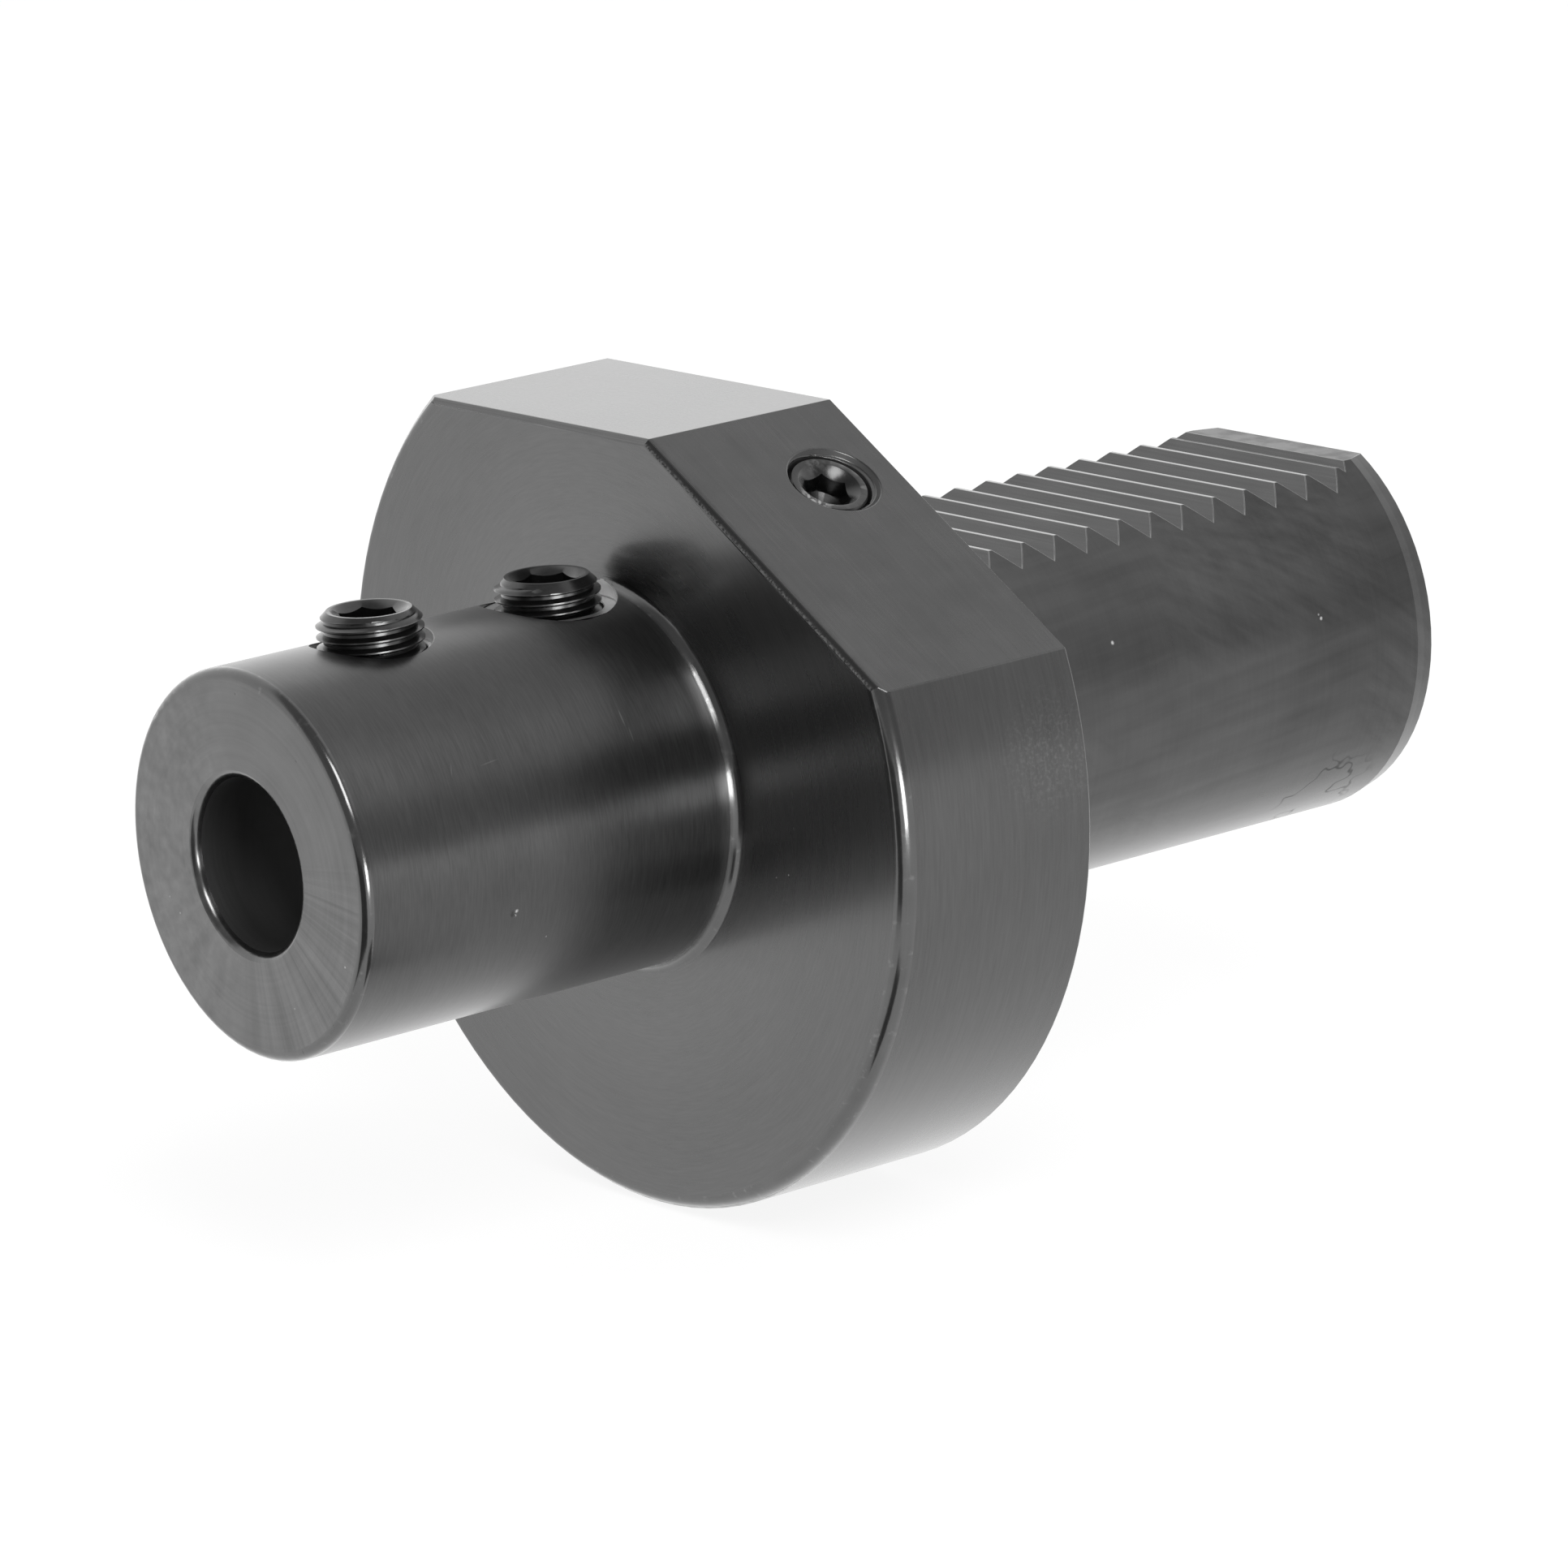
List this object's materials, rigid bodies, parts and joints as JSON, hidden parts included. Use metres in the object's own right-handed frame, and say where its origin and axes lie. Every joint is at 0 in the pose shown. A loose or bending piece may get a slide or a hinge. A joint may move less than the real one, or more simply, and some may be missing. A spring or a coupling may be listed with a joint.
{
  "type": "vdi tool holder",
  "caption": "Steel tool holder with a serrated cylindrical shank, a flange with flats and a round nose with a tool bore and clamping screws.",
  "frame": {"origin": "on the shank axis, in the plane of the flange's contact face", "axes": "+X along the shank, away from the flange; +Z towards the serration, the top flat and the clamping screws"},
  "size_m": [0.1268, 0.083, 0.0739],
  "materials": {
    "blackened_steel": "blackened, ground and turned",
    "screw_steel": "blackened",
    "plug_steel": "blackened",
    "seal_rubber": "matt"
  },
  "bodies": {
    "holder": {"holder_body": "blackened_steel", "coolant_plug": "plug_steel", "shank_seal": "seal_rubber"},
    "front_screw": {"clamp_screw_front": "screw_steel"},
    "rear_screw": {"clamp_screw_rear": "screw_steel"}
  },
  "joints": [
    {"name": "front_screw_travel", "type": "slide", "parent": "holder", "child": "front_screw", "axis": [0, 0, 1], "range_m": [-0.0022, 0.006]},
    {"name": "rear_screw_travel", "type": "slide", "parent": "holder", "child": "rear_screw", "axis": [0, 0, 1], "range_m": [-0.0016, 0.006]}
  ]
}
